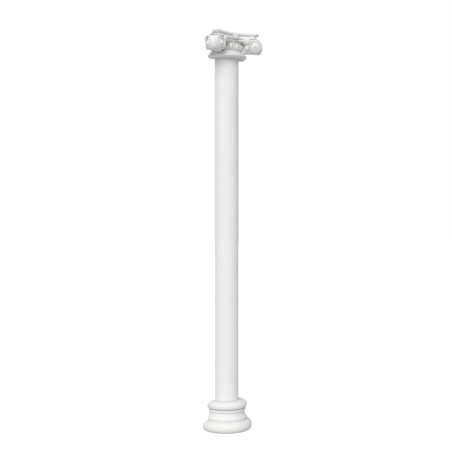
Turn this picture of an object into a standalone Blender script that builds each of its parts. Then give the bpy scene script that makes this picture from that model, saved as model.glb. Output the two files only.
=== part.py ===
# Half column to stand against a wall: moulded base, plain half round shaft, Ionic half capital.
# The front looks along -Y, the flat back stands towards +Y, and +Z is up.
# The forms are drawn about the shaft's axis with the back at y = 0, then moved to centre their depth.
import math

import bmesh
import bpy
from mathutils import Matrix, Vector

# Shaft, a straight open-backed shell
SHAFT_RADIUS = 0.090
SHAFT_WALL = 0.018
SHAFT_LENGTH = 2.440

# Plugs that sit inside the shaft, and the gaps left around them
PLUG_LENGTH = 0.042
PLUG_CLEARANCE = 0.001
PLUG_CHAMFER = 0.002
SEAT_GAP = 0.0003

# Base heights, from the floor up
LOWER_ROLL_HEIGHT = 0.079
STEP_HEIGHT = 0.011
FLARE_HEIGHT = 0.050
RING_HEIGHT = 0.016
GROOVE_HEIGHT = 0.004
UPPER_ROLL_HEIGHT = 0.054

# Base radii, as overhang past the shaft's face
LOWER_ROLL_OVERHANG = 0.096
STEP_OVERHANG = 0.056
FLARE_OVERHANG = 0.046
RING_OVERHANG = 0.052
UPPER_ROLL_OVERHANG = 0.061
SEAT_OVERHANG = 0.022

# Base's edges: how far a roll starts inside its groove, and the fine steps and chamfers
ROLL_TUCK = 0.006
RING_DEPTH = 0.008
ROLL_STEP = 0.0012
RING_CHAMFER = 0.001
STEP_LIP = 0.002
FLARE_BEND = 0.0035

# Capital
CAPITAL_HEIGHT = 0.175
BELL_SHARE = 0.90
BELL_FOOT_SHARE = 0.925
ABACUS_THICKNESS = 0.021
ABACUS_FRONT = 0.138
ABACUS_CORNER_REACH = 0.241
ABACUS_CORNER_WIDTH = 0.047
NECK_RING_OVERHANG = 0.057
NECK_RING_HEIGHT = 0.029
NECK_BEAD_HEIGHT = 0.014
NECK_BEAD_INSET = 0.013
CHANNEL_HEIGHT = 0.050
EGG_BAND_CLEARANCE = 0.009
EGG_COUNT = 16
EGG_WIDTH_SHARE = 0.56
EGG_HEIGHT_SHARE = 0.44
EGG_RISE = 0.014
RIM_WIDTH_SHARE = 0.80
RIM_HEIGHT_SHARE = 0.53
RIM_RISE = 0.0055
RELIEF_ROOT = 0.010
SCROLL_CLEARANCE = 0.017
SCROLL_TOP_RADIUS = 0.057
SCROLL_TURN_RATIO = 0.66
FRONT_EYE_SIDE = 0.130
FRONT_EYE_OUT = 0.186
FRONT_TURN_IN = math.radians(24.5)
FLANK_EYE_SIDE = 0.204
FLANK_EYE_OUT = 0.118
FLANK_TURN_IN = 0.0
SCROLL_DISH = 0.006
SCROLL_WINDS = 1.75
SCROLL_ROOT = 0.095
BAND_HOLLOW = 0.005
EYE_RISE = 0.010
RIDGE_RISE = 0.007
PALMETTE_LOBES = 4
FLOWER_DROP = 0.0095

# Facets
ROUND_STEPS = 44
SCROLL_STEPS = 20
SCROLL_BAND_STEPS = 6

BASE_HEIGHT = (LOWER_ROLL_HEIGHT + STEP_HEIGHT + FLARE_HEIGHT + RING_HEIGHT
               + GROOVE_HEIGHT + UPPER_ROLL_HEIGHT)
SHAFT_BOTTOM = BASE_HEIGHT + SEAT_GAP
SHAFT_TOP = SHAFT_BOTTOM + SHAFT_LENGTH
CAPITAL_BOTTOM = SHAFT_TOP + SEAT_GAP
PLUG_RADIUS = SHAFT_RADIUS - SHAFT_WALL - PLUG_CLEARANCE
BELL_RADIUS = ABACUS_FRONT * BELL_SHARE
ABACUS_UNDERSIDE = CAPITAL_HEIGHT - ABACUS_THICKNESS
EGG_BAND_TOP = ABACUS_UNDERSIDE - CHANNEL_HEIGHT
EGG_BAND_BOTTOM = NECK_RING_HEIGHT + NECK_BEAD_HEIGHT + EGG_BAND_CLEARANCE
EYE_HEIGHT = ABACUS_UNDERSIDE - SCROLL_CLEARANCE - SCROLL_TOP_RADIUS
BIG = 4 * ABACUS_CORNER_REACH


def clear_scene():
    for thing in list(bpy.data.objects):
        bpy.data.objects.remove(thing, do_unlink=True)


def new_collection(name):
    group = bpy.data.collections.new(name)
    bpy.context.scene.collection.children.link(group)
    return group


def matt_white(name, colour):
    material = bpy.data.materials.new(name)
    material.use_nodes = True
    shader = material.node_tree.nodes["Principled BSDF"]
    shader.inputs["Base Color"].default_value = (*colour, 1)
    shader.inputs["Roughness"].default_value = 0.6
    return material


def add_object(name, mesh, group):
    thing = bpy.data.objects.new(name, mesh)
    group.objects.link(thing)
    return thing


def mesh_from(name, points, faces):
    mesh = bpy.data.meshes.new(name)
    mesh.from_pydata([tuple(p) for p in points], [], faces)
    form = bmesh.new()
    form.from_mesh(mesh)
    bmesh.ops.remove_doubles(form, verts=form.verts, dist=1e-6)
    bmesh.ops.recalc_face_normals(form, faces=form.faces)
    form.to_mesh(mesh)
    form.free()
    return mesh


def loft(sections):
    """Quads between sections of equal count, capped at both ends."""
    count = len(sections[0])
    points = [p for section in sections for p in section]
    faces = []
    for row in range(len(sections) - 1):
        for k in range(count):
            after = (k + 1) % count
            faces.append((row * count + k, row * count + after,
                          (row + 1) * count + after, (row + 1) * count + k))
    faces.append(tuple(range(count)))
    faces.append(tuple(range((len(sections) - 1) * count, len(sections) * count)))
    return points, faces


def merged(parts):
    points = []
    faces = []
    for part_points, part_faces in parts:
        start = len(points)
        points.extend(part_points)
        faces.extend(tuple(k + start for k in face) for face in part_faces)
    return points, faces


def arc(centre_r, centre_z, reach_r, reach_z, first, last, count):
    """Points of an ellipse arc in the (radius, height) plane, angles in degrees."""
    points = []
    for k in range(count + 1):
        turn = math.radians(first + (last - first) * k / count)
        points.append((centre_r + reach_r * math.cos(turn), centre_z + reach_z * math.sin(turn)))
    return points


def turned(name, profile, group, lift=0.0):
    """A profile from the axis out, down its outer side and back to the axis, turned about Z."""
    half_step = math.pi / ROUND_STEPS
    points = [(r * math.cos(half_step), r * math.sin(half_step), z + lift) for r, z in profile]
    mesh = bpy.data.meshes.new(name)
    mesh.from_pydata(points, [(k, k + 1) for k in range(len(points) - 1)], [])
    thing = add_object(name, mesh, group)
    screw = thing.modifiers.new("Screw", "SCREW")
    screw.axis = "Z"
    screw.angle = math.tau
    screw.steps = ROUND_STEPS
    screw.render_steps = ROUND_STEPS
    screw.use_merge_vertices = True
    screw.merge_threshold = 1e-5
    return thing


def cutter_box(name, low, high, group):
    bpy.ops.mesh.primitive_cube_add(size=1)
    box = bpy.context.active_object
    box.name = name
    box.scale = [b - a for a, b in zip(low, high, strict=True)]
    box.location = [(a + b) / 2 for a, b in zip(low, high, strict=True)]
    bpy.ops.object.transform_apply(location=True, rotation=True, scale=True)
    for holder in list(box.users_collection):
        holder.objects.unlink(box)
    group.objects.link(box)
    hide(box)
    return box


def hide(thing):
    thing.hide_render = True
    thing.display_type = "WIRE"


def boolean(thing, other, operation):
    modifier = thing.modifiers.new(other.name, "BOOLEAN")
    modifier.operation = operation
    modifier.solver = "EXACT"
    modifier.object = other


def base_profile():
    """The base from the plug's top down its outer side, as (radius, height)."""
    step_bottom = LOWER_ROLL_HEIGHT
    flare_bottom = step_bottom + STEP_HEIGHT
    ring_bottom = flare_bottom + FLARE_HEIGHT
    ring_top = ring_bottom + RING_HEIGHT
    roll_bottom = ring_top + GROOVE_HEIGHT
    seat = BASE_HEIGHT
    seat_radius = SHAFT_RADIUS + SEAT_OVERHANG
    upper_radius = SHAFT_RADIUS + UPPER_ROLL_OVERHANG
    ring_radius = SHAFT_RADIUS + RING_OVERHANG
    flare_radius = SHAFT_RADIUS + FLARE_OVERHANG
    step_radius = SHAFT_RADIUS + STEP_OVERHANG
    lower_radius = SHAFT_RADIUS + LOWER_ROLL_OVERHANG
    plug_top = seat + PLUG_LENGTH
    profile = [(0, plug_top), (PLUG_RADIUS - PLUG_CHAMFER, plug_top),
               (PLUG_RADIUS, plug_top - PLUG_CHAMFER), (PLUG_RADIUS, seat), (seat_radius, seat)]
    # Upper roll: a soft shoulder below the seat, round at its widest, tucked in underneath
    shoulder = UPPER_ROLL_HEIGHT * 0.52
    across = upper_radius - seat_radius
    profile += arc(seat_radius, seat - ROLL_STEP - shoulder, across, shoulder, 86, 0, 7)
    tuck = upper_radius - ring_radius + ROLL_TUCK
    profile += arc(upper_radius - tuck, seat - ROLL_STEP - shoulder, tuck,
                   UPPER_ROLL_HEIGHT - shoulder - ROLL_STEP, 0, -90, 5)[1:]
    # Groove and flat ring
    profile += [(ring_radius - RING_DEPTH, ring_top), (ring_radius - RING_CHAMFER, ring_top),
                (ring_radius, ring_top - RING_CHAMFER), (ring_radius, ring_bottom + RING_CHAMFER),
                (ring_radius - RING_CHAMFER, ring_bottom)]
    # Hollow flare, widest where it meets the step
    for k in range(8):
        s = k / 7
        inward = 4 * (0.30 - s) ** 2 - 0.36
        swell = (step_radius - flare_radius) * s ** 2
        swell += (ring_radius - ROLL_TUCK - flare_radius) * (1 - s) ** 2
        drop = 0.0005 + FLARE_HEIGHT * s * 0.99
        profile.append((flare_radius + FLARE_BEND * inward + swell, ring_bottom - drop))
    # Step, then the lower roll
    step_radius += STEP_LIP
    profile += [(step_radius, step_bottom + STEP_HEIGHT * 0.75), (step_radius, step_bottom)]
    widest = LOWER_ROLL_HEIGHT * 0.46
    across = lower_radius - step_radius
    profile += arc(step_radius, widest, across, LOWER_ROLL_HEIGHT - widest - 0.001, 88, 0, 7)
    profile += arc(lower_radius - across * 0.86, widest, across * 0.86, widest, 0, -90, 6)[1:]
    profile.append((0, 0))
    return profile


def capital_profile():
    """The capital's turned core, from inside the top slab down to the plug's foot."""
    ring = SHAFT_RADIUS + NECK_RING_OVERHANG
    bell_low = BELL_RADIUS * BELL_FOOT_SHARE
    band = EGG_BAND_TOP - EGG_BAND_BOTTOM
    profile = [(0, ABACUS_UNDERSIDE + 0.006), (BELL_RADIUS * 0.97, ABACUS_UNDERSIDE + 0.006),
               (BELL_RADIUS * 0.97, EGG_BAND_TOP + 0.002), (BELL_RADIUS, EGG_BAND_TOP)]
    for k in range(1, 6):
        s = k / 5
        swell = (BELL_RADIUS - bell_low) * math.cos(s * math.pi / 2)
        profile.append((bell_low + swell, EGG_BAND_TOP - band * s))
    # Bead between the eggs and the neck ring
    bead_radius = NECK_BEAD_HEIGHT / 2
    bead_top = NECK_RING_HEIGHT + NECK_BEAD_HEIGHT
    profile.append((bell_low + 0.002, bead_top + 0.004))
    bead_middle = ring - NECK_BEAD_INSET - bead_radius
    profile += arc(bead_middle, NECK_RING_HEIGHT + bead_radius, bead_radius, bead_radius, 90, -60, 5)
    # Neck ring: a soft half round that tucks in under itself
    profile.append((ring * 0.92, NECK_RING_HEIGHT))
    widest = NECK_RING_HEIGHT * 0.66
    profile += arc(ring * 0.93, widest, ring * 0.07, NECK_RING_HEIGHT - widest, 70, 0, 3)
    profile += arc(ring * 0.82, widest, ring * 0.18, widest, 0, -90, 6)[1:]
    plug_bottom = -PLUG_LENGTH
    profile += [(PLUG_RADIUS, 0), (PLUG_RADIUS, plug_bottom + PLUG_CHAMFER),
                (PLUG_RADIUS - PLUG_CHAMFER, plug_bottom), (0, plug_bottom)]
    return profile


def abacus_outline(inset):
    """The top slab's plan: four hollow sides and four cut corners, drawn in by the inset."""
    middle = ABACUS_CORNER_REACH / math.sqrt(2)
    half_cut = ABACUS_CORNER_WIDTH / (2 * math.sqrt(2))
    side_end = middle - half_cut
    side_reach = middle + half_cut
    shrink = 1 - inset / ABACUS_FRONT
    points = []
    pieces = 11
    for quarter in range(4):
        turn = quarter * math.pi / 2
        for k in range(pieces + 1):
            s = -1 + 2 * k / pieces
            x = side_end * s
            y = -(ABACUS_FRONT + (side_reach - ABACUS_FRONT) * s * s)
            points.append(((x * math.cos(turn) - y * math.sin(turn)) * shrink,
                           (x * math.sin(turn) + y * math.cos(turn)) * shrink))
    return points


def abacus_part():
    """The top slab, the groove under it and the channel band that joins the scrolls."""
    top = CAPITAL_HEIGHT
    under = ABACUS_UNDERSIDE
    thick = ABACUS_THICKNESS
    levels = [(EGG_BAND_TOP + 0.004, 0.022), (EGG_BAND_TOP + 0.006, 0.014),
              (EGG_BAND_TOP + 0.014, 0.012), (EGG_BAND_TOP + 0.016, 0.020),
              (under - 0.009, 0.020), (under - 0.007, 0.013),
              (under - 0.001, 0.012), (under + 0.001, 0.008), (under + thick * 0.18, 0.003),
              (under + thick * 0.45, 0.0), (under + thick * 0.78, 0.0015), (top, 0.005)]
    sections = [[(x, y, z + CAPITAL_BOTTOM) for x, y in abacus_outline(inset)] for z, inset in levels]
    return loft(sections)


def scroll_radius(turn):
    """Distance from the eye; turn is 0 at the top and grows as the scroll winds in."""
    return SCROLL_TOP_RADIUS * SCROLL_TURN_RATIO ** (turn / math.tau)


def face_axes(face):
    """Eye, direction along the face to its outer rim, and direction out of the face."""
    if face == "front":
        along = Vector((math.cos(FRONT_TURN_IN), -math.sin(FRONT_TURN_IN), 0))
        out = Vector((-math.sin(FRONT_TURN_IN), -math.cos(FRONT_TURN_IN), 0))
        return Vector((FRONT_EYE_SIDE, -FRONT_EYE_OUT, EYE_HEIGHT + CAPITAL_BOTTOM)), along, out
    along = Vector((math.sin(FLANK_TURN_IN), -math.cos(FLANK_TURN_IN), 0))
    out = Vector((math.cos(FLANK_TURN_IN), math.sin(FLANK_TURN_IN), 0))
    return Vector((FLANK_EYE_SIDE, -FLANK_EYE_OUT, EYE_HEIGHT + CAPITAL_BOTTOM)), along, out


def face_point(face, turn, reach, rise):
    """A point of one face of the right-hand scroll."""
    eye, along, out = face_axes(face)
    return eye + along * (reach * math.sin(turn)) + Vector((0, 0, reach * math.cos(turn))) + out * rise


def face_rise(reach):
    """How far the dished face stands out at a distance from the eye."""
    share = reach / SCROLL_TOP_RADIUS
    return EYE_RISE * (1 - share) - SCROLL_DISH * share


def scroll_row(face, turn):
    """Points across the winding strip at one turn, from its outer edge in."""
    outer = scroll_radius(turn)
    inner = scroll_radius(turn + math.tau)
    last = math.tau * SCROLL_WINDS
    taper = 1 - smoothly(turn, last - 1.2, last)
    row = []
    for share, rise in ((0.0, 0.0), (0.05, RIDGE_RISE), (0.40, RIDGE_RISE), (0.50, -0.001)):
        reach = outer + (inner - outer) * share
        fade = (0.5 + 0.5 * outer / SCROLL_TOP_RADIUS) * taper
        row.append(face_point(face, turn, reach, face_rise(reach) + rise * fade))
    return row


def scroll_face(face):
    """One winding dished face: its points, its faces and the loop of its rim."""
    last = round(SCROLL_STEPS * SCROLL_WINDS)
    rows = [scroll_row(face, math.tau * k / SCROLL_STEPS) for k in range(last + SCROLL_STEPS + 1)]
    wide = len(rows[0])
    points = [p for row in rows[:last + 1] for p in row]
    points += [row[0] for row in rows[last + 1:]]

    def at(row, column):
        if column == wide:
            return at(row + SCROLL_STEPS, 0)
        if row <= last:
            return row * wide + column
        return (last + 1) * wide + row - last - 1

    faces = []
    for row in range(last):
        for column in range(wide):
            faces.append((at(row, column), at(row + 1, column),
                          at(row + 1, column + 1), at(row, column + 1)))
    # The strip's inner edge drawn in to a round knob at the eye
    edge = [at(last, column) for column in range(wide)]
    edge += [at(last + k, 0) for k in range(SCROLL_STEPS, 0, -1)]
    centre, _, out = face_axes(face)
    knob = scroll_radius(math.tau * (SCROLL_WINDS + 0.5))
    for share, rise in ((0.66, EYE_RISE - 0.004), (0.60, EYE_RISE + 0.004), (0.28, EYE_RISE + 0.007)):
        ring = []
        for k in edge:
            spoke = points[k] - centre
            spoke -= out * spoke.dot(out)
            points.append(centre + spoke.normalized() * (knob * share) + out * rise)
            ring.append(len(points) - 1)
        for k in range(len(ring)):
            after = (k + 1) % len(ring)
            faces.append((edge[k], edge[after], ring[after], ring[k]))
        edge = ring
    faces.append(tuple(edge))
    rim = [at(k, 0) for k in range(SCROLL_STEPS + 1)]
    rim += [at(0, column) for column in range(wide - 1, 0, -1)]
    return points, faces, rim


def smoothly(value, low, high):
    share = min(1.0, max(0.0, (value - low) / (high - low)))
    return share * share * (3 - 2 * share)


def scroll_part():
    """One corner scroll: two winding faces, a hollow band between their rims, a root to the bell."""
    points, faces, rim = scroll_face("front")
    flank_points, flank_faces, _ = scroll_face("flank")
    size = len(points)
    points += flank_points
    faces += [tuple(k + size for k in face) for face in flank_faces]
    corner = Vector((FRONT_EYE_SIDE + FLANK_EYE_SIDE, -FRONT_EYE_OUT - FLANK_EYE_OUT, 0)).normalized()
    before = rim
    for step in range(1, SCROLL_BAND_STEPS + 1):
        s = step / SCROLL_BAND_STEPS
        if step == SCROLL_BAND_STEPS:
            ring = [k + size for k in rim]
        else:
            ring = []
            for order, k in enumerate(rim):
                turn = 360 * min(order, SCROLL_STEPS) / SCROLL_STEPS
                inner = smoothly(turn, 160, 215) * (1 - 0.5 * smoothly(turn, 320, 360))
                bow = math.sin(math.pi * s)
                pull = BAND_HOLLOW * bow + inner * SCROLL_ROOT * bow ** 3
                points.append(points[k].lerp(points[k + size], s) - corner * pull)
                ring.append(len(points) - 1)
        for k in range(len(rim)):
            after = (k + 1) % len(rim)
            faces.append((before[k], before[after], ring[after], ring[k]))
        before = ring
    return points, faces


def both_corners(part):
    points, faces = part
    return merged([part, ([Vector((-p.x, p.y, p.z)) for p in points], faces)])


def around(direction, reach, height, across=0.0):
    """A point at a direction from the front (positive to +X), a reach from the axis and a height."""
    return Vector((math.sin(direction) * reach + math.cos(direction) * across,
                   -math.cos(direction) * reach + math.sin(direction) * across, height + CAPITAL_BOTTOM))


def egg_directions():
    spacing = math.tau / EGG_COUNT
    return [spacing * (k + 0.5) for k in range(-EGG_COUNT // 4, EGG_COUNT // 4)]


def dart_directions():
    spacing = math.tau / EGG_COUNT
    return [spacing * k for k in range(-EGG_COUNT // 4 + 1, EGG_COUNT // 4)]


def egg_part(direction):
    """An egg hung in the band, its top leaning outward."""
    band = EGG_BAND_TOP - EGG_BAND_BOTTOM
    half_width = BELL_RADIUS * math.tan(math.pi / EGG_COUNT) * EGG_WIDTH_SHARE
    half_height = band * EGG_HEIGHT_SHARE
    middle = (EGG_BAND_TOP + EGG_BAND_BOTTOM) / 2
    rows = 6
    count = 8
    sections = []
    for row in range(rows):
        lean = math.pi * (0.06 + 0.88 * row / (rows - 1)) - math.pi / 2
        ring_height = math.sin(lean)
        ring_width = math.cos(lean) * (1 + 0.16 * ring_height)
        ring = []
        for k in range(count):
            angle = math.tau * (k + 0.5) / count
            across = half_width * ring_width * math.cos(angle)
            reach = BELL_RADIUS * (0.965 + 0.035 * ring_height) + EGG_RISE * ring_width * math.sin(angle)
            ring.append(around(direction, reach, middle + half_height * ring_height, across))
        sections.append(ring)
    return loft(sections)


def egg_frame_part(direction):
    """The raised rim that cups an egg, open at the top."""
    band = EGG_BAND_TOP - EGG_BAND_BOTTOM
    half_width = BELL_RADIUS * math.tan(math.pi / EGG_COUNT) * RIM_WIDTH_SHARE
    drop = band * RIM_HEIGHT_SHARE
    middle = (EGG_BAND_TOP + EGG_BAND_BOTTOM) / 2
    count = 10
    thick = band * 0.05
    sections = []
    for k in range(count + 1):
        angle = math.radians(205 * k / count - 192.5)
        side = math.cos(angle)
        height = math.sin(angle)
        lean = BELL_RADIUS * (0.965 + 0.035 * height)
        ring = []
        for off, rise in ((-thick, -RELIEF_ROOT), (-thick * 0.7, RIM_RISE),
                          (thick * 0.7, RIM_RISE), (thick, -RELIEF_ROOT)):
            ring.append(around(direction, lean + rise, middle + (drop + off) * height,
                               (half_width + off) * side))
        sections.append(ring)
    return loft(sections)


def dart_part(direction):
    """A narrow spear between two eggs, widest at its barb."""
    band = EGG_BAND_TOP - EGG_BAND_BOTTOM
    sections = []
    for share, width, rise in ((0.98, 0.0020, 0.004), (0.45, 0.0022, 0.005), (0.30, 0.0058, 0.006),
                               (0.02, 0.0006, 0.001)):
        height = EGG_BAND_BOTTOM + band * share
        lean = BELL_RADIUS * (0.93 + 0.07 * share)
        sections.append([around(direction, lean - 0.008, height, -width),
                         around(direction, lean + rise * 0.6, height, -width * 0.9),
                         around(direction, lean + rise, height, 0),
                         around(direction, lean + rise * 0.6, height, width * 0.9),
                         around(direction, lean - 0.008, height, width)])
    return loft(sections)


def flower_part(direction):
    """The five-lobed flower at the middle of the top slab's foot, with a knob at its heart."""
    height = ABACUS_UNDERSIDE - FLOWER_DROP
    count = 15
    sections = []
    for size, lobed, out in ((0.012, 0.3, -0.024), (0.019, 0.3, 0.014), (0.016, 0.3, 0.022),
                             (0.0085, 0.1, 0.020), (0.0080, 0.0, 0.026), (0.0040, 0.0, 0.030)):
        ring = []
        for k in range(count):
            angle = math.tau * (k + 0.5) / count
            reach = size * (1 - lobed + lobed * abs(math.sin(2.5 * angle + 0.1)))
            ring.append(around(direction, ABACUS_FRONT + out, height + reach * math.cos(angle),
                               reach * math.sin(angle)))
        sections.append(ring)
    return loft(sections)


def stem_part(direction):
    sections = []
    for share, width in ((0.0, 0.0062), (0.5, 0.0050), (1.0, 0.0030)):
        height = ABACUS_UNDERSIDE - 0.002 - (ABACUS_UNDERSIDE - EGG_BAND_TOP - 0.012) * share
        reach = ABACUS_FRONT - 0.010
        sections.append([around(direction, reach - 0.014, height, -width),
                         around(direction, reach + 0.004, height, -width * 0.8),
                         around(direction, reach + 0.004, height, width * 0.8),
                         around(direction, reach - 0.014, height, width)])
    return loft(sections)


def leaf_part():
    """A half palmette that springs from the scroll's inner rim and spreads over the channel."""
    root = face_point("front", 1.5 * math.pi, scroll_radius(1.5 * math.pi) * 0.96, 0)
    root.z = CAPITAL_BOTTOM + EGG_BAND_TOP + 0.020
    tip = Vector((root.x * 0.48, -ABACUS_FRONT * 0.94, root.z))
    along = (tip - root).normalized()
    out = Vector((along.y, -along.x, 0))
    if out.y > 0:
        out = -out
    lobes = PALMETTE_LOBES
    each = 4
    outline = [(0.0, 0.0)]
    for k in range(lobes * each + 1):
        angle = math.radians(12 - 122 * k / (lobes * each))
        bulge = abs(math.sin(math.pi * k / each))
        reach = (tip - root).length * (0.95 - 0.60 * k / (lobes * each)) * (0.70 + 0.30 * bulge)
        outline.append((reach * math.cos(angle), reach * math.sin(angle)))
    middle_x = sum(p[0] for p in outline) / len(outline)
    middle_z = sum(p[1] for p in outline) / len(outline)
    sections = []
    for size, rise in ((1.0, -0.020), (1.0, 0.003), (0.88, 0.007), (0.50, 0.009)):
        ring = []
        for x, z in outline:
            spread = along * (middle_x + (x - middle_x) * size)
            height = Vector((0, 0, middle_z + (z - middle_z) * size))
            ring.append(root + spread + height + out * rise)
        sections.append(ring)
    return loft(sections)


def hidden_form(name, part, group):
    points, faces = part
    thing = add_object(name, mesh_from(name, points, faces), group)
    hide(thing)
    return thing


def smooth(thing, degrees):
    """Shade smooth, with edges sharper than the angle left hard."""
    mesh = thing.data
    mesh.polygons.foreach_set("use_smooth", [True] * len(mesh.polygons))
    mesh.set_sharp_from_angle(angle=math.radians(degrees))


def settle(thing):
    """Turn the modifiers' result into the object's own mesh."""
    bpy.context.view_layer.update()
    graph = bpy.context.evaluated_depsgraph_get()
    mesh = bpy.data.meshes.new_from_object(thing.evaluated_get(graph))
    thing.modifiers.clear()
    thing.data = mesh


def build():
    clear_scene()
    column = new_collection("half_column")
    cutters = new_collection("cutters")
    wall = cutter_box("wall_side", (-BIG, 0, -1), (BIG, BIG, CAPITAL_BOTTOM + 1), cutters)

    base = turned("base", base_profile(), column)
    boolean(base, wall, "DIFFERENCE")

    inner = SHAFT_RADIUS - SHAFT_WALL
    shell = [(SHAFT_RADIUS, SHAFT_TOP), (SHAFT_RADIUS, SHAFT_BOTTOM), (inner, SHAFT_BOTTOM),
             (inner, SHAFT_TOP), (SHAFT_RADIUS, SHAFT_TOP)]
    shaft = turned("shaft", shell, column)
    boolean(shaft, wall, "DIFFERENCE")

    capital = turned("capital", capital_profile(), column, CAPITAL_BOTTOM)
    quarters = (-math.pi / 2, 0, math.pi / 2)
    frames = [egg_frame_part(d) for d in egg_directions()]
    eggs = [egg_part(d) for d in egg_directions()]
    forms = [
        ("slab_form", abacus_part()),
        ("dart_forms", merged([dart_part(d) for d in dart_directions()])),
        ("egg_forms", merged(frames + eggs)),
        ("stem_forms", merged([stem_part(q) for q in quarters])),
        ("flower_forms", merged([flower_part(q) for q in quarters])),
        ("leaf_forms", both_corners(leaf_part())),
        ("scroll_forms", both_corners(scroll_part())),
    ]
    for name, part in forms:
        boolean(capital, hidden_form(name, part, cutters), "UNION")
    boolean(capital, wall, "DIFFERENCE")

    pieces = ((base, (0.80, 0.80, 0.79), 40), (shaft, (0.82, 0.82, 0.81), 40),
              (capital, (0.80, 0.80, 0.79), 35))
    for thing, _, _ in pieces:
        settle(thing)
    front = min(vertex.co.y for thing, _, _ in pieces for vertex in thing.data.vertices)
    for thing, colour, angle in pieces:
        thing.data.transform(Matrix.Translation((0, -front / 2, 0)))
        thing.data.materials.clear()
        thing.data.materials.append(matt_white(thing.name + "_white", colour))
        smooth(thing, angle)


build()
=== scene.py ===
import math

import bmesh
import bpy
import numpy as np
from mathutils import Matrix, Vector


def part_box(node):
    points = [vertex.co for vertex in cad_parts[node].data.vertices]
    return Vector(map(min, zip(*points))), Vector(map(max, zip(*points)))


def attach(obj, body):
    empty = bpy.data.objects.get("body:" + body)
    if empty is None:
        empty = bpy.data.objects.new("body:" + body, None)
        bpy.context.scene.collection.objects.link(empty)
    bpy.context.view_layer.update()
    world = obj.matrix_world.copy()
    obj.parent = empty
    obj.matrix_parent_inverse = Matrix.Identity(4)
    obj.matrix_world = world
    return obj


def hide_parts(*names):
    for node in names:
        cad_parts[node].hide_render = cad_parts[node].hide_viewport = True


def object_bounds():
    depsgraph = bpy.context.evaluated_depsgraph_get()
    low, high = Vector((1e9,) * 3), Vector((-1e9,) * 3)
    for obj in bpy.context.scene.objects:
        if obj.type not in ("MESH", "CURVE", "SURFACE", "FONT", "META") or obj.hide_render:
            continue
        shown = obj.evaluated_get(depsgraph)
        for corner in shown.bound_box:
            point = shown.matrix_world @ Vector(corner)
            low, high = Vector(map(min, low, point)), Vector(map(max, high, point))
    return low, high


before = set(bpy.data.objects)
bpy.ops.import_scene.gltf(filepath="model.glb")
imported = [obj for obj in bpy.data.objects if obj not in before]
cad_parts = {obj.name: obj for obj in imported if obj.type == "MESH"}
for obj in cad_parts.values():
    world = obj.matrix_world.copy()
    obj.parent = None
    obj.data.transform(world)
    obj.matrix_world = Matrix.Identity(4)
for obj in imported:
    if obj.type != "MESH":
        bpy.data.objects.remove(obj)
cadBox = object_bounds()
wallY = cadBox[1].y  # plane of the flat back; the shaft's axis stands in it
print("half column: frame loaded")

# Forms are drawn about the shaft's axis, front along -y, and moved back by wallY at the end


def smoothStep(value, low, high):
    share = np.clip((value - low) / (high - low), 0.0, 1.0)
    return share * share * (3.0 - 2.0 * share)


def arc(centreR, centreZ, reachR, reachZ, first, last, count):
    turn = np.radians(np.linspace(first, last, count + 1))
    return np.stack([centreR + reachR * np.cos(turn), centreZ + reachZ * np.sin(turn)], axis=1)


def tube(sections, closedAround=True, caps=True):
    # quads between closed loops of points, the first and last loop filled
    rows, columns, _ = sections.shape
    index = np.arange(rows * columns).reshape(rows, columns)
    after = np.roll(index, -1, axis=1)
    if not closedAround:
        index, after = index[:, :-1], after[:, :-1]
    faces = np.stack([index[:-1], after[:-1], after[1:], index[1:]], axis=-1).reshape(-1, 4).tolist()
    if caps:
        whole = np.arange(rows * columns).reshape(rows, columns)
        faces += [whole[0][::-1].tolist(), whole[-1].tolist()]
    return sections.reshape(-1, 3), faces


def joined(forms):
    points, faces, start = [], [], 0
    for formPoints, formFaces in forms:
        points.append(formPoints)
        faces += [[k + start for k in face] for face in formFaces]
        start += len(formPoints)
    return np.concatenate(points), faces


def mirrored(form):
    points, faces = form
    return joined([form, (points * np.array([-1.0, 1.0, 1.0]), faces)])


def halfTurned(profile, steps):
    # a profile of radius and height turned through the front half circle, flat behind
    turn = np.linspace(0.0, math.pi, steps + 1)
    radius, height = profile[:, :1], profile[:, 1:]
    return tube(np.stack([radius * np.cos(turn), -radius * np.sin(turn), height + 0.0 * turn], axis=-1))


def cutAtWall(form):
    # what passes the plane of the back is cut off and the cut filled
    points, faces = form
    shell = bmesh.new()
    corners = [shell.verts.new(p) for p in points]
    for face in faces:
        if len(set(face)) > 2:
            shell.faces.new([corners[k] for k in face])
    bmesh.ops.remove_doubles(shell, verts=shell.verts, dist=1e-6)
    bmesh.ops.bisect_plane(shell, geom=shell.verts[:] + shell.edges[:] + shell.faces[:], dist=1e-6,
                           plane_co=(0, 0, 0), plane_no=(0, 1, 0), clear_outer=True)
    rims = [edge for edge in shell.edges if edge.is_boundary]
    bmesh.ops.holes_fill(shell, edges=rims, sides=0)
    shell.verts.index_update()
    cutPoints = np.array([tuple(v.co) for v in shell.verts])
    cutFaces = [[v.index for v in face.verts] for face in shell.faces]
    shell.free()
    return cutPoints, cutFaces


def recessOf(mesh, rounds=6):
    # positive where the surface is hollow: mean rise of a vertex's neighbours above its own plane
    count = len(mesh.vertices)
    places = np.empty(count * 3)
    mesh.vertices.foreach_get("co", places)
    places = places.reshape(-1, 3)
    facing = np.empty(count * 3)
    mesh.vertices.foreach_get("normal", facing)
    facing = facing.reshape(-1, 3)
    ends = np.empty(len(mesh.edges) * 2, dtype=np.int64)
    mesh.edges.foreach_get("vertices", ends)
    ends = ends.reshape(-1, 2)
    pairs = np.concatenate([ends, ends[:, ::-1]])
    away = places[pairs[:, 1]] - places[pairs[:, 0]]
    rise = (away * facing[pairs[:, 0]]).sum(1) / (np.linalg.norm(away, axis=1) + 1e-9)
    number = np.bincount(pairs[:, 0], minlength=count) + 1e-9
    recess = np.bincount(pairs[:, 0], weights=rise, minlength=count) / number
    for _ in range(rounds):
        around = np.bincount(pairs[:, 0], weights=recess[pairs[:, 1]], minlength=count) / number
        recess = 0.5 * recess + 0.5 * around
    return recess


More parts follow.
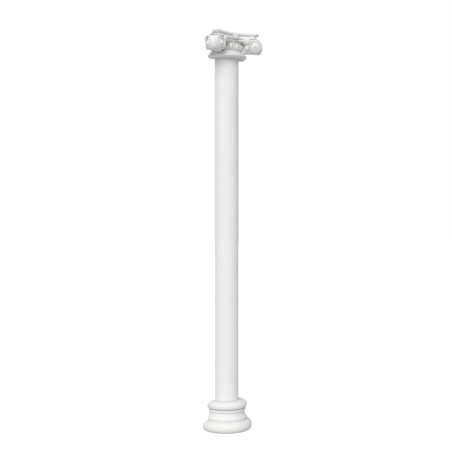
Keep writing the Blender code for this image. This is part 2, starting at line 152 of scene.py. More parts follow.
def makePiece(name, form, material, sharpAngle):
    points, faces = form
    mesh = bpy.data.meshes.new(name)
    mesh.from_pydata((points + np.array([0.0, wallY, 0.0])).tolist(), [], faces)
    shell = bmesh.new()
    shell.from_mesh(mesh)
    bmesh.ops.remove_doubles(shell, verts=shell.verts, dist=2e-6)
    bmesh.ops.dissolve_degenerate(shell, edges=shell.edges, dist=1e-7)
    bmesh.ops.recalc_face_normals(shell, faces=shell.faces)
    shell.to_mesh(mesh)
    shell.free()
    mesh.polygons.foreach_set("use_smooth", [True] * len(mesh.polygons))
    mesh.set_sharp_from_angle(angle=math.radians(sharpAngle))
    # hollowness per point, which the material uses to paint shade into the carving
    mesh.attributes.new("recess", "FLOAT", "POINT").data.foreach_set("value", recessOf(mesh))
    piece = bpy.data.objects.new(name, mesh)
    bpy.context.scene.collection.objects.link(piece)
    piece.data.materials.append(material)
    return piece


class Field:
    # one shader value; sums and products of fields make the maths nodes
    def __init__(self, tree, socket):
        self.tree = tree
        self.socket = socket

    def node(self, kind, inputs, output=0, **settings):
        made = self.tree.nodes.new(kind)
        for key, value in settings.items():
            setattr(made, key, value)
        for key, value in inputs.items():
            if isinstance(value, Field):
                self.tree.links.new(value.socket, made.inputs[key])
            else:
                made.inputs[key].default_value = value
        return Field(self.tree, made.outputs[output])

    def calc(self, operation, first, second=0.0):
        return self.node("ShaderNodeMath", {0: first, 1: second}, operation=operation)

    def __add__(self, other):
        return self.calc("ADD", self, other)

    def __sub__(self, other):
        return self.calc("SUBTRACT", self, other)

    def __mul__(self, other):
        return self.calc("MULTIPLY", self, other)

    __radd__ = __add__
    __rmul__ = __mul__

    def between(self, low, high):
        return self.node("ShaderNodeClamp", {"Value": self, "Min": low, "Max": high})

    def noise(self, scale, detail=2.0, roughness=0.5):
        return self.node("ShaderNodeTexNoise", {"Vector": self, "Scale": scale, "Detail": detail,
                                                "Roughness": roughness})

    def mixColours(self, first, second):
        return self.node("ShaderNodeMix", {0: self, 6: first, 7: second}, output=2, data_type="RGBA")


primerLook = dict(
    white=(0.80, 0.80, 0.79, 1.0),
    shade=(0.70, 0.70, 0.69, 1.0),   # blotches of thinner primer
    paintedShade=(0.30, 0.30, 0.29, 1.0),    # painted shade: the dark grey put into the carving's hollows
    paintedShadeAmount=1.0,
    paintedShadeFrom=0.015,                  # hollowness at which the painted shade starts
    paintedShadeGain=9.0,
    blotchSize=9.0,                  # per metre, as grainSize
    blotchFrom=0.45,
    blotchGain=2.2,
    blotchAmount=0.35,
    roughness=0.62,
    roughnessSpread=0.16,
    grainSize=420.0,
    grainDepth=0.00016,
    rippleShare=0.14,                # the mould ripple's size against the grain's
    bumpStrength=0.35,
    specular=0.35,
)


def primerWhite(name, look, paintedShadeShare):
    # colour = white with blotches of thinner primer from broad noise, then painted shade where the surface
    # is hollow;
    # roughness = set value plus broad noise; bump = fine grain plus a softer mould ripple
    material = bpy.data.materials.new(name)
    material.use_nodes = True
    tree = material.node_tree
    shader = tree.nodes["Principled BSDF"]
    place = Field(tree, tree.nodes.new("ShaderNodeTexCoord").outputs["Object"])
    recess = place.node("ShaderNodeAttribute", {}, output=2, attribute_name="recess")
    broad = place.noise(look["blotchSize"], 3.0)
    fine = place.noise(look["grainSize"], 2.0, 0.6)
    ripple = place.noise(look["grainSize"] * look["rippleShare"], 1.0)
    blotch = ((broad - look["blotchFrom"]) * look["blotchGain"]).between(0.0, 1.0) * look["blotchAmount"]
    # painted shade: the hollows of the carving, read from the recess attribute, are darkened towards a dark
    # grey, broken by the fine grain
    hollow = ((recess - look["paintedShadeFrom"]) * look["paintedShadeGain"] * paintedShadeShare).between(0.0, 1.0)
    paintedShade = hollow * (0.7 + fine * 0.4)
    colour = blotch.mixColours(look["white"], look["shade"])
    colour = (paintedShade * look["paintedShadeAmount"] * 0.7).mixColours(colour, look["paintedShade"])
    tree.links.new(colour.socket, shader.inputs["Base Color"])
    roughness = look["roughness"] + (broad - 0.5) * look["roughnessSpread"] + paintedShade * 0.1
    tree.links.new(roughness.socket, shader.inputs["Roughness"])
    bump = place.node("ShaderNodeBump", {"Height": fine + ripple * 1.5, "Strength": look["bumpStrength"],
                                         "Distance": look["grainDepth"]})
    tree.links.new(bump.socket, shader.inputs["Normal"])
    shader.inputs["Specular IOR Level"].default_value = look["specular"]
    return material


# Base: two rolls with a ring, a hollow flare and a step between, and the plug on top
base = dict(lowerRoll=0.079, step=0.011, flare=0.050, ring=0.016, groove=0.004, upperRoll=0.054,
            lowerOut=0.096, stepOut=0.056, flareOut=0.046, ringOut=0.052, upperOut=0.061,
            seatOut=0.022, plugLength=0.042, plugClear=0.001, plugChamfer=0.002, turnSteps=120,
            rollStep=0.0012, rollTuck=0.006, ringDepth=0.008, ringEdge=0.0025, stepLip=0.002,
            stepEdge=0.0015, flareBend=0.0035, shoulderShare=0.52, widestShare=0.46, underShare=0.86)
shaft = dict(radius=0.090, wall=0.018, turnSteps=96, edge=0.0012)
plugRadius = shaft["radius"] - shaft["wall"] - base["plugClear"]


def baseProfile(b, r):
    stepFoot = b["lowerRoll"]
    flareFoot = stepFoot + b["step"]
    ringFoot = flareFoot + b["flare"]
    ringTop = ringFoot + b["ring"]
    seat = ringTop + b["groove"] + b["upperRoll"]
    top = seat + b["plugLength"]
    seatR, upperR, ringR = r + b["seatOut"], r + b["upperOut"], r + b["ringOut"]
    flareR, stepR, lowerR = r + b["flareOut"], r + b["stepOut"] + b["stepLip"], r + b["lowerOut"]
    shoulder = b["upperRoll"] * b["shoulderShare"]
    shoulderZ = seat - b["rollStep"] - shoulder
    underRoll = b["upperRoll"] - shoulder - b["rollStep"]
    tuck = upperR - ringR + b["rollTuck"]
    edge, stepEdge = b["ringEdge"], b["stepEdge"]
    widest = b["lowerRoll"] * b["widestShare"]
    across = lowerR - stepR
    under = across * b["underShare"]
    share = np.linspace(0.0, 1.0, 25)
    sweep = b["flareBend"] * (4 * (0.30 - share) ** 2 - 0.36)
    sweep += (stepR - b["stepLip"] - flareR) * share ** 2
    sweep += (ringR - b["rollTuck"] - flareR) * (1 - share) ** 2
    hollow = np.stack([flareR + sweep, ringFoot - 0.0005 - b["flare"] * share * 0.99], axis=1)
    parts = [
        [(0, top), (plugRadius - b["plugChamfer"], top), (plugRadius, top - b["plugChamfer"]),
         (plugRadius, seat), (seatR - 0.004, seat), (seatR - 0.0005, seat - 0.0003)],
        arc(seatR, shoulderZ, upperR - seatR, shoulder, 84, 0, 28),
        arc(upperR - tuck, shoulderZ, tuck, underRoll, 0, -90, 20)[1:],
        [(ringR - b["ringDepth"], ringTop + 0.0006)],
        arc(ringR - edge, ringTop - edge, edge, edge, 90, 0, 5),
        arc(ringR - edge, ringFoot + edge, edge, edge, 0, -90, 5),
        hollow,
        arc(stepR - stepEdge, stepFoot + b["step"] * 0.75 - stepEdge, stepEdge, stepEdge, 90, 0, 4),
        [(stepR, stepFoot + 0.0006)],
        arc(stepR, widest, across, b["lowerRoll"] - widest - 0.001, 88, 0, 34),
        arc(lowerR - under, widest, under, widest, 0, -90, 26)[1:],
        [(0, 0)],
    ]
    return np.concatenate([np.array(part, dtype=float) for part in parts])


baseWhite = primerWhite("baseWhite", primerLook, 1.0)
basePiece = makePiece("baseMoulding", halfTurned(baseProfile(base, shaft["radius"]), base["turnSteps"]),
                      baseWhite, 38)
print("half column: base")

# Shaft: straight open-backed shell, swept round the front half circle
shaftLow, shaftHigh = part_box("shaft")


def shaftForm(s):
    outer, inner, edge = s["radius"], s["radius"] - s["wall"], s["edge"]
    foot, head = shaftLow.z, shaftHigh.z
    loop = np.array([(outer, foot + edge), (outer, head - edge), (outer - edge, head),
                     (inner + edge, head), (inner, head - edge), (inner, foot + edge),
                     (inner + edge, foot), (outer - edge, foot)])
    turn = np.linspace(0.0, math.pi, s["turnSteps"] + 1)[:, None]
    reach, height = loop[:, 0], loop[:, 1]
    return tube(np.stack([reach * np.cos(turn), -reach * np.sin(turn), height + 0 * turn], axis=-1))


shaftWhite = primerWhite("shaftWhite", primerLook, 0.6)
shaftPiece = makePiece("shaftShell", shaftForm(shaft), shaftWhite, 30)
print("half column: shaft")

# Capital
capital = dict(height=0.175, slab=0.021, front=0.138, cornerReach=0.241, cornerWidth=0.047,
               ringOut=0.057, ring=0.029, bead=0.014, beadInset=0.013, bandFoot=0.052, bandTop=0.104,
               eggs=16, bellShare=0.90, bellFootShare=0.925, neckShare=0.95, turnSteps=128,
               backStep=0.00015)
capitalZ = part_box("capital")[0].z + base["plugLength"]
bellRadius = capital["front"] * capital["bellShare"]
slabUnder = capital["height"] - capital["slab"]
lift = np.array([0.0, 0.0, capitalZ])


def coreProfile(c):
    # from inside the slab down the bell, bead and neck ring to the plug's foot
    ring = shaft["radius"] + c["ringOut"]
    bellLow = bellRadius * c["bellFootShare"]
    neck = bellRadius * c["neckShare"]
    beadTop = c["ring"] + c["bead"]
    share = np.linspace(0.0, 1.0, 14)
    bell = np.stack([bellLow - 0.004 + (bellRadius - bellLow) * np.cos(share * math.pi / 2),
                     c["bandTop"] - (c["bandTop"] - c["bandFoot"]) * share], axis=1)
    beadR = c["bead"] / 2
    widest = c["ring"] * 0.66
    foot = -base["plugLength"]
    parts = [
        [(0, slabUnder + 0.004), (neck, slabUnder + 0.004), (neck, c["bandTop"] + 0.002)],
        bell,
        [(bellLow + 0.001, beadTop + 0.005), (bellLow + 0.006, beadTop + 0.0005)],
        arc(ring - c["beadInset"] - beadR, c["ring"] + beadR, beadR, beadR, 90, -60, 18),
        [(ring * 0.925, c["ring"] + 0.0002)],
        arc(ring * 0.93, widest, ring * 0.07, c["ring"] - widest, 78, 0, 14),
        arc(ring * 0.82, widest, ring * 0.18, widest, 0, -90, 24)[1:],
        [(plugRadius, 0), (plugRadius, foot + base["plugChamfer"]),
         (plugRadius - base["plugChamfer"], foot), (0, foot)],
    ]
    return np.concatenate([np.array(part, dtype=float) for part in parts])


def slabOutline(c, inset, steps=36):
    # front half of the plan: hollow sides and cut corners, from wall to wall
    middle = c["cornerReach"] / math.sqrt(2)
    cut = c["cornerWidth"] / (2 * math.sqrt(2))
    sideEnd, sideReach = middle - cut, middle + cut
    s = np.linspace(-1.0, 1.0, 2 * steps + 1)
    deep = c["front"] + (sideReach - c["front"]) * s * s
    frontSide = np.stack([sideEnd * s, -deep], axis=1)
    rightSide = np.stack([deep, sideEnd * s], axis=1)[:steps + 1]
    leftSide = rightSide[::-1] * np.array([-1.0, 1.0])
    # rightSide runs from the front corner to the wall, so it goes last
    return np.concatenate([leftSide, frontSide, rightSide]) * (1 - inset / c["front"])


def slabForm(c):
    # heights with their insets: channel band, listel, dark groove, round nose, soft upper edge
    foot, under, top = c["bandTop"], slabUnder, c["height"]
    levels = [(foot + 0.003, 0.026), (foot + 0.0045, 0.019), (foot + 0.010, 0.0165), (foot + 0.013, 0.022)]
    levels += [(under - 0.0140, 0.022), (under - 0.0130, 0.0140), (under - 0.0118, 0.0122),
               (under - 0.0035, 0.0118), (under - 0.0022, 0.0130)]
    levels += [(under - 0.0012, 0.0175), (under + 0.0004, 0.0175), (under + 0.0010, 0.0118)]
    for share in np.linspace(0.08, 1.0, 10):
        swell = math.sin(share * math.pi / 2) ** 0.85
        levels.append((under + 0.0010 + 0.0120 * share, 0.0115 * (1 - swell)))
    levels += [(top - 0.0048, 0.0002), (top - 0.0030, 0.0010), (top - 0.0014, 0.0026),
               (top - 0.0004, 0.0046), (top, 0.0062)]
    sections = []
    for z, inset in levels:
        plan = slabOutline(c, inset)
        sections.append(np.column_stack([plan, np.full(len(plan), z)]))
    return tube(np.array(sections))


# Egg and dart band: one surface of direction and height, its relief a sum of eggs, rims and spears
eggBand = dict(
    eggRise=0.0135, eggWide=0.56, eggLean=0.16, eggTall=0.44,    # widths and heights as shares of the space
    rimRise=0.0060, rimWide=0.80, rimTall=0.53, rimThick=0.15,
    dartRise=0.0075,
    dartHeights=(0.0, 0.04, 0.30, 0.40, 0.46, 1.0),              # from the point up, as shares
    dartWidths=(0.0003, 0.0008, 0.0062, 0.0030, 0.0022, 0.0024),
    sunk=0.003, columns=300, rows=46,
)


def eggBandForm(c, e):
    foot, top = c["bandFoot"] - e["sunk"], c["bandTop"] + e["sunk"]
    middle, tall = (c["bandTop"] + c["bandFoot"]) / 2, c["bandTop"] - c["bandFoot"]
    spacing = math.tau / c["eggs"]
    direction = np.linspace(-math.pi / 2, math.pi / 2, e["columns"] + 1)[:, None]
    height = np.linspace(foot, top, e["rows"] + 1)[None, :]
    down = np.clip((c["bandTop"] - height) / tall, 0, 1)
    bellLow = bellRadius * c["bellFootShare"]
    bell = bellLow + (bellRadius - bellLow) * np.cos(down * math.pi / 2) - e["sunk"]
    fromEgg = ((direction / spacing) % 1.0 - 0.5) * spacing * bellRadius
    fromDart = ((direction / spacing + 0.5) % 1.0 - 0.5) * spacing * bellRadius
    up = (height - middle) / (tall * e["eggTall"])
    halfSpace = bellRadius * math.tan(math.pi / c["eggs"])
    eggWide = halfSpace * e["eggWide"] * (1 + e["eggLean"] * up)
    eggPart = 1 - (fromEgg / eggWide) ** 2 - up ** 2
    egg = e["eggRise"] * np.sqrt(np.clip(eggPart, 0, 1))
    rimWide = halfSpace * e["rimWide"]
    rimUp = (height - middle) / (tall * e["rimTall"])
    ringShare = np.sqrt((fromEgg / rimWide) ** 2 + rimUp ** 2)
    rimHere = np.clip(1 - ((ringShare - 1.0) / e["rimThick"]) ** 2, 0, 1) ** 0.5
    rim = e["rimRise"] * rimHere * smoothStep(-rimUp, -0.93, -0.80)
    share = (height - c["bandFoot"]) / tall
    dartWide = np.interp(share, e["dartHeights"], e["dartWidths"])
    dart = e["dartRise"] * np.clip(1 - np.abs(fromDart) / dartWide, 0, 1) ** 0.7
    relief = np.maximum(np.maximum(egg, rim), dart)
    edge = smoothStep(height, foot, foot + e["sunk"]) * (1 - smoothStep(height, top - e["sunk"], top))
    reach = bell + relief * edge
    face = np.stack([np.sin(direction) * reach, -np.cos(direction) * reach, height + 0 * reach], axis=-1)
    back = face[:, ::-1][:, [0, -1]] * np.array([0.86, 0.86, 1.0])
    return tube(np.concatenate([face, back], axis=1))


# Corner scrolls
scroll = dict(eyeZ=0.080, topRadius=0.057, turnRatio=0.66, dish=0.006, winds=2.2, stepsPerTurn=120,
              across=24, eyeRise=0.010, ridgeRise=0.0070, ridgeShare=0.42, grooveDepth=0.0042,
              leafRise=0.0056, leavesPerTurn=15, bossRadius=0.0160, bossRise=0.0098, bossAside=0.0042,
              bossDrop=0.0022, bossOut=0.0045, bossFurrow=0.0034, bandHollow=0.006, root=0.095,
              rootFrom=(160, 215), rootTo=(320, 360), bandSteps=18)
leafTip = dict(first=(0.10, 0.20), last=(0.86, 0.94), wide=0.40, middle=0.60, bend=0.10, deep=0.38)
scrollFaces = dict(
    front=(np.array([0.130, -0.186, scroll["eyeZ"]]), math.radians(24.5)),
    flank=(np.array([0.204, -0.118, scroll["eyeZ"]]), 0.0),
)


def faceAxes(face):
    # heart of the winding, direction along the face to its outer rim, direction out of the face
    eye, turnIn = scrollFaces[face]
    c, s = math.cos(turnIn), math.sin(turnIn)
    if face == "front":
        return eye, np.array([c, -s, 0]), np.array([-s, -c, 0])
    return eye, np.array([s, -c, 0]), np.array([c, s, 0])


def windRadius(turn):
    return scroll["topRadius"] * scroll["turnRatio"] ** (turn / math.tau)


def dishRise(reach):
    share = reach / scroll["topRadius"]
    return scroll["eyeRise"] * (1 - share) - scroll["dish"] * share


def crossRise(across, turn, reach):
    # round ridge near the outer edge, then a groove with leaf tips round most of the first winding
    ridge = np.clip(np.sin(math.pi * np.clip(across / scroll["ridgeShare"], 0, 1)), 0, 1)
    inGroove = np.clip((across - scroll["ridgeShare"]) / (1 - scroll["ridgeShare"]), 0, 1)
    groove = np.clip(np.sin(math.pi * inGroove), 0, 1)
    size = 0.40 + 0.60 * reach / scroll["topRadius"]
    wind = turn / math.tau
    here = smoothStep(wind, *leafTip["first"]) * (1 - smoothStep(wind, *leafTip["last"]))
    aside = ((wind * scroll["leavesPerTurn"]) % 1.0 - 0.5) / leafTip["wide"]
    inward = (inGroove - leafTip["middle"] + leafTip["bend"] * aside ** 2) / leafTip["deep"]
    leaf = np.sqrt(np.clip(1 - aside ** 2 - inward ** 2, 0, 1)) * here
    size = size * (1 - smoothStep(wind, scroll["winds"] - 0.45, scroll["winds"]))
    return (size * (scroll["ridgeRise"] * ridge ** 0.55 - scroll["grooveDepth"] * groove ** 0.6)
            + scroll["leafRise"] * leaf)


def facePoints(face, turn, reach, rise):
    eye, along, out = faceAxes(face)
    turn, reach, rise = (np.asarray(v)[..., None] for v in np.broadcast_arrays(turn, reach, rise))
    return eye + along * reach * np.sin(turn) + np.array([0, 0, 1.0]) * reach * np.cos(turn) + out * rise


def scrollFace(face):
    # a strip that winds in, its inner edge the next winding's outer one; returns the rim's indices too
    steps, winds, wide = scroll["stepsPerTurn"], scroll["winds"], scroll["across"]
    rows = round(steps * winds)
    turn = (np.arange(rows + 1) * math.tau / steps)[:, None]
    across = np.linspace(0.0, 1.0, wide + 1)[None, :]
    reach = windRadius(turn) + (windRadius(turn + math.tau) - windRadius(turn)) * across
    points = facePoints(face, turn, reach, dishRise(reach) + crossRise(across, turn, reach))
    form, faces = tube(points, closedAround=False, caps=False)
    index = np.arange((rows + 1) * (wide + 1)).reshape(rows + 1, wide + 1)
    inner = index[rows - steps:, wide].tolist() + index[rows, :wide][::-1].tolist()
    faces.append(inner[:-1])
    rim = index[:steps + 1, 0].tolist() + index[0, 1:wide][::-1].tolist()
    return form, faces, rim


def scrollForm():
    points, faces, rim = scrollFace("front")
    flankPoints, flankFaces, _ = scrollFace("flank")
    size = len(points)
    faces += [[k + size for k in face] for face in flankFaces]
    eyes = scrollFaces["front"][0] + scrollFaces["flank"][0]
    corner = np.array([eyes[0], eyes[1], 0.0])
    corner /= np.linalg.norm(corner)
    order = np.minimum(np.arange(len(rim)), scroll["stepsPerTurn"])
    degrees = 360.0 * order / scroll["stepsPerTurn"]
    inner = smoothStep(degrees, *scroll["rootFrom"]) * (1 - 0.5 * smoothStep(degrees, *scroll["rootTo"]))
    share = (np.arange(1, scroll["bandSteps"]) / scroll["bandSteps"])[:, None, None]
    bow = np.sin(math.pi * share)
    pull = scroll["bandHollow"] * bow ** 0.8 + inner[None, :, None] * scroll["root"] * bow ** 3
    band = points[rim] * (1 - share) + flankPoints[rim] * share - corner * pull
    allPoints = np.concatenate([points, flankPoints, band.reshape(-1, 3)])
    rings = [np.array(rim)] + [2 * size + k * len(rim) + np.arange(len(rim)) for k in range(len(band))]
    rings.append(np.array(rim) + size)
    for before, after in zip(rings[:-1], rings[1:], strict=True):
        faces += np.stack([before, np.roll(before, -1), np.roll(after, -1), after], axis=1).tolist()
    return allPoints, faces


def dome(centre, across, up, out, width, tall, rise, rings=12, steps=40, furrow=0.0):
    # rounded boss: height = rise * (1 - share^2)^0.6, less a furrow that winds in, its rim sunk
    turn = np.linspace(0.0, math.tau, steps, endpoint=False)[None, :]
    share = np.concatenate([np.sin(np.linspace(0.02, 1.0, rings) * math.pi / 2), [1.0]])[:, None]
    winding = (turn / math.tau + 1.05 * share ** 0.8) % 1.0 - 0.5
    height = rise * np.clip(1 - share ** 2, 0, 1) ** 0.6
    fade = np.sin(math.pi * np.clip(share, 0, 1)) ** 1.4
    height = height - furrow * np.exp(-(winding / 0.13) ** 2) * fade
    height[-1] = -rise * 0.8
    along = share * np.cos(turn) * width
    over = share * np.sin(turn) * tall
    return tube(centre + across * along[..., None] + up * over[..., None] + out * height[..., None])


def eyeForms():
    # the rolled leaf end at the heart of each face: a furrowed boss, low and to the outside
    forms = []
    up = np.array([0, 0, 1.0])
    for face in scrollFaces:
        eye, along, out = faceAxes(face)
        centre = eye + along * scroll["bossAside"] - up * scroll["bossDrop"] + out * scroll["bossOut"]
        wide, rise = scroll["bossRadius"], scroll["bossRise"]
        forms.append(dome(centre, along, up, out, wide, wide, rise, rings=24, steps=72,
                          furrow=scroll["bossFurrow"]))
    return joined(forms)


# Channel that joins the scrolls under the slab, its ridges running on into the windings
channel = dict(centreY=-0.1265, centreTop=0.1385, centreFoot=0.1145, rows=38, depth=0.030)


def swapped(points):
    # mirrored about the line from the axis to the corner, which trades the front for the flank
    return points[..., [1, 0, 2]] * np.array([-1.0, -1.0, 1.0])


def channelForm(face):
    # worked out as on the front; the flank's is swapped in and out and ends at the wall
    turned = swapped if face == "flank" else np.copy
    eye, along, out = (turned(v) for v in faceAxes(face))
    across = np.concatenate([np.linspace(0, 1, 19), np.linspace(1, 1 + scroll["ridgeShare"], 8)[1:]])
    outer, second, third = windRadius(0.0), windRadius(math.tau), windRadius(2 * math.tau)
    reach = np.where(across <= 1, outer + (second - outer) * across,
                     second + (third - second) * (across - 1))
    rise = crossRise(across % 1.0000001, 0.0, reach)
    endHeight = scroll["eyeZ"] + reach
    fall = channel["centreFoot"] - channel["centreTop"]
    centreHeight = channel["centreTop"] + fall * across / across[-1]
    u = np.linspace(0.0, 1.0, channel["rows"])[:, None]
    start, tangent = eye[:2], -along[:2]
    goal = np.array([0.0, channel["centreY"]])
    reachOut = np.linalg.norm(goal - start) / 3
    control = start + tangent * reachOut, goal + np.array([1.0, 0.0]) * reachOut
    plan = ((1 - u) ** 3 * start + 3 * (1 - u) ** 2 * u * control[0] + 3 * (1 - u) * u ** 2 * control[1]
            + u ** 3 * goal)
    slope = np.gradient(plan, axis=0)
    slope /= np.linalg.norm(slope, axis=1, keepdims=True)
    facing = np.stack([slope[:, 1], -slope[:, 0]], axis=1)
    facing *= np.sign(-facing[:, 1:])
    blend = smoothStep(u, 0.0, 0.85)
    heights = endHeight * (1 - blend) + centreHeight * blend
    rises = rise + dishRise(reach) * (1 - blend)
    flat = plan[:, None, :] + facing[:, None, :] * rises[..., None]
    strip = np.concatenate([flat, heights[..., None]], axis=-1)
    lead = []
    for degrees, sink in ((10, 0.0040), (6, 0.0012), (3, 0.0003)):
        lead.append(turned(facePoints(face, math.radians(degrees), reach, dishRise(reach) + rise - sink)))
    strip = np.concatenate([np.array(lead), strip])
    outward = np.concatenate([np.repeat(out[None, :2], 3, axis=0), facing])
    sink = np.concatenate([outward * channel["depth"], np.zeros((len(strip), 1))], axis=1)
    behind = strip[:, [-1, 0]] - sink[:, None]
    half = np.concatenate([strip, behind], axis=1)
    if face == "flank":
        return mirrored(tube(swapped(half)))
    other = half[:-1][::-1] * np.array([-1.0, 1.0, 1.0])
    return tube(np.concatenate([half, other]))


# Half palmettes: fingers that fan out from each scroll over the top of the eggs
palmette = dict(fingers=6, first=10.0, last=dict(front=-108.0, flank=-76.0), longest=0.066,
                shortest=0.030, width=0.0094, thick=0.0064, rootZ=0.126, root=0.0085, rootRise=0.0075,
                droop=0.008, droopAside=0.013, backing=0.006, backingThick=0.008)


def finger(root, direction, outward, length, width, thick, droop):
    s = np.sin(np.linspace(0.0, 1.0, 18) * math.pi / 2)[:, None, None]
    turn = np.linspace(0.0, math.tau, 14, endpoint=False)[None, :, None]
    side = np.cross(direction, outward)
    body = (0.42 + 0.58 * s) * np.sqrt(np.clip(1 - s ** 7, 0, 1)) + 0.01
    curl = outward * (0.004 * np.sin(math.pi * s) - droop * s ** 2)
    groove = 1 - 0.40 * np.exp(-(np.cos(turn) / 0.35) ** 2) * (np.sin(turn) > 0) * (1 - s ** 4)
    return tube(root + direction * length * s + curl
                + side * width * body * np.cos(turn) + outward * thick * body * np.sin(turn) * groove)


def palmetteForms(face):
    out = faceAxes(face)[2]
    root = facePoints(face, 1.5 * math.pi, windRadius(1.5 * math.pi) * 0.93, 0.002).reshape(3)
    root[2] = palmette["rootZ"]
    if face == "front":
        aim = np.array([root[0] * 0.48, -capital["front"] * 0.93, root[2]])
    else:
        aim = np.array([capital["front"] * 0.93, root[1] * 0.30, root[2]])
    level = aim - root
    level /= np.linalg.norm(level)
    outward = np.cross(level, [0, 0, 1.0])
    outward *= np.sign(np.dot(outward, out))
    forms = []
    for k in range(palmette["fingers"]):
        share = k / (palmette["fingers"] - 1)
        angle = math.radians(palmette["first"] + (palmette["last"][face] - palmette["first"]) * share)
        length = palmette["longest"] + (palmette["shortest"] - palmette["longest"]) * share
        direction = level * math.cos(angle) + np.array([0, 0, 1.0]) * math.sin(angle)
        droop = palmette["droop"] + palmette["droopAside"] * abs(math.sin(angle))
        forms.append(finger(root, direction, outward, length, palmette["width"] * (1.15 - 0.3 * share),
                            palmette["thick"], droop))
        # a wider one behind it closes the gaps between neighbours
        forms.append(finger(root - outward * palmette["backing"], direction, outward, length * 0.9,
                            palmette["width"] * 1.3, palmette["backingThick"], droop + 0.004))
    forms.append(dome(root - outward * 0.001, level, np.array([0, 0, 1.0]), outward, palmette["root"],
                      palmette["root"], palmette["rootRise"], steps=24))
    return joined(forms)


# Last eggs of the row, on the roots that tie the scrolls to the bell
cornerEgg = dict(wide=0.0135, tall=0.0215, rise=0.0125, rimWide=0.0175, rimTall=0.0262,
                 rimThick=0.0027, z=0.078, spearAside=0.0245, spearWide=0.0044, spearRise=0.0052)
cornerEggPlaces = (
    (np.array([0.0955, -0.1360]), np.array([-0.962, -0.272])),
    (np.array([0.1560, -0.0725]), np.array([0.249, 0.969])),
)


def cornerEggForms():
    forms = []
    up = np.array([0, 0, 1.0])
    for place, facing in cornerEggPlaces:
        centre = np.array([place[0], place[1], cornerEgg["z"]])
        out = np.array([facing[0], facing[1], 0.0])
        across = np.cross(up, out)
        tall = cornerEgg["tall"]
        forms.append(dome(centre, across, up, out, cornerEgg["wide"], tall, cornerEgg["rise"]))
        inward = across * np.sign(-np.dot(across[:2], place))
        spearTop = centre + inward * cornerEgg["spearAside"] + up * 1.1 * tall
        forms.append(finger(spearTop, -up, out, 2.1 * tall, cornerEgg["spearWide"],
                            cornerEgg["spearRise"], 0.0))
        turn = np.linspace(0.0, math.tau, 49)[:, None, None]
        thick = np.linspace(0.0, math.tau, 10, endpoint=False)[None, :, None]
        bulge = cornerEgg["rimThick"] * np.cos(thick)
        ring = (centre + across * (cornerEgg["rimWide"] + bulge) * np.cos(turn)
                + up * (cornerEgg["rimTall"] + bulge) * np.sin(turn)
                + out * (0.0012 + cornerEgg["rimThick"] * 1.5 * np.sin(thick)))
        forms.append(tube(ring, caps=False))
    return joined(forms)


# Flower at the middle of each side of the slab, with a stem hanging to the eggs
flower = dict(radius=0.0215, rise=0.0092, knob=0.0082, knobRise=0.0085, petals=5, faceOut=0.018,
              drop=0.0095, sunk=0.006, stemBack=0.018, stemRadius=0.015, knobOut=0.0028,
              huskLength=0.036, huskWide=0.0070, huskRise=0.0068)


def around(direction, reach, height, across=0.0):
    return np.array([math.sin(direction) * reach + math.cos(direction) * across,
                     -math.cos(direction) * reach + math.sin(direction) * across, height])


def rosette(centre, across, up, out, radius, rise, petals):
    # cupped petals: height climbs to a round rim, less valleys between petals and a vein on each
    turn = np.linspace(0.0, math.tau, 120, endpoint=False)[None, :]
    share = np.concatenate([np.linspace(0.02, 0.70, 10), np.linspace(0.75, 0.999, 8), [1.0]])[:, None]
    lobe = np.abs(np.cos(petals / 2 * (turn - math.pi / 2)))
    valley = (1 - lobe) ** 2
    outline = 0.74 + 0.26 * lobe ** 0.6
    height = rise * (0.25 + 0.75 * np.sin(np.clip(share / 0.72, 0, 1) * math.pi / 2))
    height = height * np.sqrt(np.clip(1 - (np.clip(share - 0.72, 0, 1) / 0.28) ** 2, 0, 1))
    height = height - rise * 0.62 * valley * np.clip(share * 2, 0, 1) * np.clip((1 - share) * 6, 0, 1)
    height = height - rise * 0.22 * np.exp(-((1 - lobe) / 0.04) ** 2) * np.sin(math.pi * share) ** 0.5
    height = np.where(np.arange(len(share))[:, None] == len(share) - 1, -rise, height)
    along = share * outline * np.cos(turn) * radius
    over = share * outline * np.sin(turn) * radius
    return tube(centre + across * along[..., None] + up * over[..., None] + out * height[..., None])


def flowerForms(direction):
    out = around(direction, 1.0, 0.0)
    across = around(direction, 0.0, 0.0, 1.0)
    up = np.array([0, 0, 1.0])
    height = slabUnder - flower["drop"]
    centre = around(direction, capital["front"] + flower["faceOut"] - flower["sunk"], height)
    petals = rosette(centre, across, up, out, flower["radius"], flower["rise"], flower["petals"])
    stemBody = dome(centre - out * flower["stemBack"], across, up, out, flower["stemRadius"],
                    flower["stemRadius"], flower["stemBack"], steps=32)
    knob = dome(centre + out * flower["knobOut"], across, up, out, flower["knob"], flower["knob"],
                flower["knobRise"], steps=32)
    huskTop = around(direction, capital["front"] - flower["sunk"], slabUnder - 0.010)
    husk = finger(huskTop, -up, out, flower["huskLength"], flower["huskWide"], flower["huskRise"], 0.004)
    return [petals, stemBody, knob, husk]


def capitalForm():
    # flat backs stand a hair behind one another, so no two lie in one plane
    forms = [halfTurned(coreProfile(capital), capital["turnSteps"])]
    layers = [slabForm(capital), eggBandForm(capital, eggBand), channelForm("flank")]
    for direction in (-math.pi / 2, math.pi / 2):
        layers += [cutAtWall(part) for part in flowerForms(direction)]
    for order, (points, faces) in enumerate(layers):
        points[:, 1] = np.minimum(points[:, 1], -capital["backStep"] * (order + 1))
        forms.append((points, faces))
    forms += [channelForm("front")] + flowerForms(0.0)
    forms += [mirrored(scrollForm()), mirrored(eyeForms()), mirrored(cornerEggForms())]
    forms += [mirrored(palmetteForms("front")), mirrored(palmetteForms("flank"))]
    points, faces = joined(forms)
    return points + lift, faces


capitalWhite = primerWhite("capitalWhite", primerLook, 1.0)
capitalPiece = makePiece("capitalCarving", capitalForm(), capitalWhite, 42)
print("half column: capital,", sum(len(p.vertices) - 2 for p in capitalPiece.data.polygons), "triangles")

for piece, node in ((basePiece, "base"), (shaftPiece, "shaft"), (capitalPiece, "capital")):
    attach(piece, "root")
    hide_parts(node)

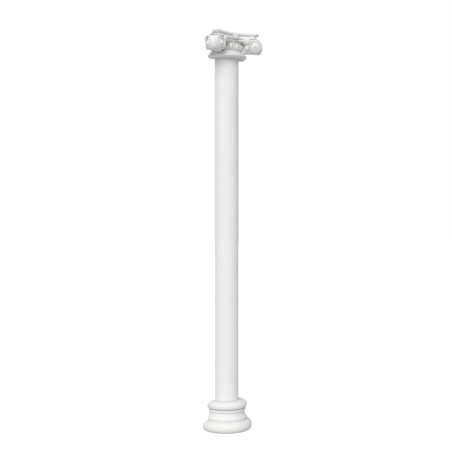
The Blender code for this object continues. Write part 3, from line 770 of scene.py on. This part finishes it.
# Floor, light and camera
studio = dict(azimuth=-27.5, distance=6.0, eyeZ=1.46, lens=66.25,
              floorHalf=60.0, floorGlow=0.66, floorColour=(0.62, 0.62, 0.62, 1), floorRoughness=0.9,
              sunPower=2.05, sunAngle=45.0, sunFrom=(-2.9, -4.0, 3.2), ambient=0.52, backdrop=1.0)

floorMesh = bpy.data.meshes.new("floor")
half = studio["floorHalf"]
floorCorners = [(-half, -half, 0), (half, -half, 0), (half, half, 0), (-half, half, 0)]
floorMesh.from_pydata(floorCorners, [], [(0, 1, 2, 3)])
floor = bpy.data.objects.new("floor", floorMesh)
bpy.context.scene.collection.objects.link(floor)
floorPaper = bpy.data.materials.new("floorPaper")
floorPaper.use_nodes = True
floorTree = floorPaper.node_tree
floorShader = floorTree.nodes["Principled BSDF"]
floorShader.inputs["Base Color"].default_value = studio["floorColour"]
floorShader.inputs["Roughness"].default_value = studio["floorRoughness"]
floorShader.inputs["Specular IOR Level"].default_value = 0.0
floorShader.inputs["Emission Strength"].default_value = studio["floorGlow"]
# the glow shows to the lens alone, so that it lights no underside
seen = Field(floorTree, floorTree.nodes.new("ShaderNodeLightPath").outputs["Is Camera Ray"])
glow = seen.mixColours((0, 0, 0, 1), (1, 1, 1, 1))
floorTree.links.new(glow.socket, floorShader.inputs["Emission Color"])
floorMesh.materials.append(floorPaper)

sunLight = bpy.data.lights.new("softKey", "SUN")
sunLight.energy = studio["sunPower"]
sunLight.angle = math.radians(studio["sunAngle"])
sun = bpy.data.objects.new("softKey", sunLight)
sun.rotation_euler = (-Vector(studio["sunFrom"])).to_track_quat("-Z", "Y").to_euler()
bpy.context.scene.collection.objects.link(sun)

# The world lights the piece softly and shows the lens a white backdrop
world = bpy.data.worlds.new("paleRoom")
world.use_nodes = True
bpy.context.scene.world = world
worldTree = world.node_tree
background = worldTree.nodes["Background"]
background.inputs["Color"].default_value = (1, 1, 1, 1)
toLens = Field(worldTree, worldTree.nodes.new("ShaderNodeLightPath").outputs["Is Camera Ray"])
strength = studio["ambient"] + toLens * (studio["backdrop"] - studio["ambient"])
worldTree.links.new(strength.socket, background.inputs["Strength"])

camera = bpy.data.objects.new("camera", bpy.data.cameras.new("camera"))
turn = math.radians(studio["azimuth"])
back = Vector((math.sin(turn), -math.cos(turn), 0))
camera.location = Vector((0, wallY, studio["eyeZ"])) + back * studio["distance"]
camera.rotation_euler = back.to_track_quat("Z", "Y").to_euler()
camera.data.lens = studio["lens"]
camera.data.clip_end = 200
bpy.context.scene.collection.objects.link(camera)
bpy.context.scene.camera = camera
bpy.context.scene.view_settings.view_transform = "Standard"
print("half column: studio")
